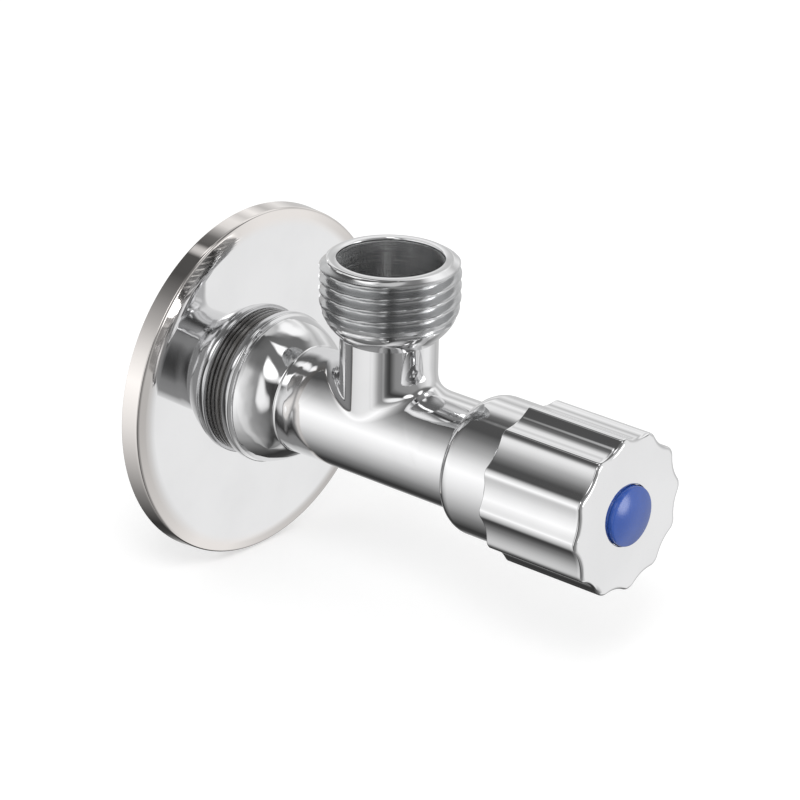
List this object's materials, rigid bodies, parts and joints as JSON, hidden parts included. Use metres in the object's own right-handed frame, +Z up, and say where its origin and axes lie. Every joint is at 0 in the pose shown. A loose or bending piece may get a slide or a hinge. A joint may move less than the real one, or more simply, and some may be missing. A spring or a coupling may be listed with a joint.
{
  "type": "angle valve",
  "caption": "Chromed right-angle shut-off valve with a round wall plate, an upward male outlet thread, a fluted quarter-turn handle and a ceramic disc cartridge.",
  "frame": {"origin": "on the valve's axis at the wall plane, where the wall plate's rim touches the wall", "axes": "+Y into the wall along the inlet thread, +Z up along the outlet thread, the handle faces -Y"},
  "size_m": [0.0548, 0.0883, 0.0548],
  "materials": {
    "polished_chrome": "mirror-polished chrome plate on brass, satin on the machined thread",
    "black_rubber": "matt",
    "stainless_steel": "bright rolled sheet",
    "bare_brass": "turned",
    "white_ceramic": "lapped alumina",
    "white_plastic": "moulded acetal",
    "blue_plastic": "glossy moulded dome"
  },
  "bodies": {
    "body": {"valve_body": "polished_chrome", "wall_escutcheon": "polished_chrome", "inlet_sealing_ring": "black_rubber", "inlet_strainer": "stainless_steel", "cartridge_bonnet": "bare_brass", "bonnet_gasket": "black_rubber", "bonnet_o_ring": "black_rubber", "seat_seal": "black_rubber", "fixed_ceramic_disc": "white_ceramic"},
    "handle": {"rotating_ceramic_disc": "white_ceramic", "spindle": "bare_brass", "lower_spindle_o_ring": "black_rubber", "upper_spindle_o_ring": "black_rubber", "thrust_washer": "white_plastic", "retaining_clip": "stainless_steel", "handle_knob": "polished_chrome", "handle_bush": "white_plastic", "handle_screw": "stainless_steel", "screw_washer": "stainless_steel", "index_cap": "blue_plastic"}
  },
  "joints": [
    {"name": "handle_turn", "type": "hinge", "parent": "body", "child": "handle", "pos_m": [0, -0.0562, 0], "axis": [0, -1, 0], "range_deg": [0, 90]}
  ]
}
